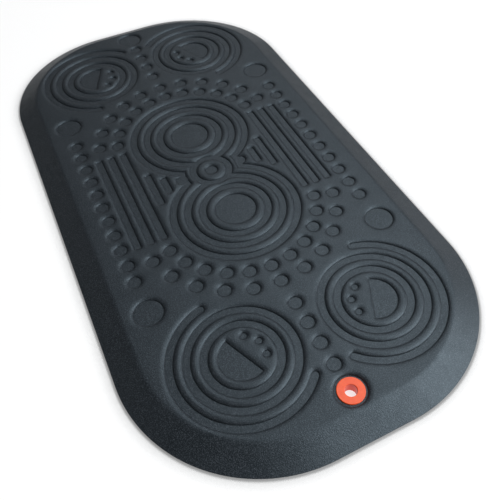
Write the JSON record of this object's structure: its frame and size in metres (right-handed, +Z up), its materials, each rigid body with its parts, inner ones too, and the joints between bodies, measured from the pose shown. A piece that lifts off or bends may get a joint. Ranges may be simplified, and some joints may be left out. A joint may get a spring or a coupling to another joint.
{
  "type": "anti fatigue mat",
  "caption": "Rounded rectangular standing mat with bevelled rim, recessed massage relief on top and a round hanging eyelet near one end.",
  "frame": {"origin": "on the floor, under the middle of the mat", "axes": "+Z up out of the top face, +Y along the mat away from the end with the eyelet, +X across the mat"},
  "size_m": [0.51, 0.991, 0.019],
  "materials": {
    "skin": "satin pebble-grain moulded polyurethane skin, charcoal black",
    "foam": "open-cell polyurethane foam, dark grey",
    "base": "matt non-slip rubberised sheet, black",
    "eyelet": "satin moulded plastic, orange-red"
  },
  "bodies": {
    "root": {"top_skin": "skin", "foam_core": "foam", "base_sheet": "base", "eyelet_flange": "eyelet", "eyelet_back_ring": "eyelet"}
  },
  "joints": []
}
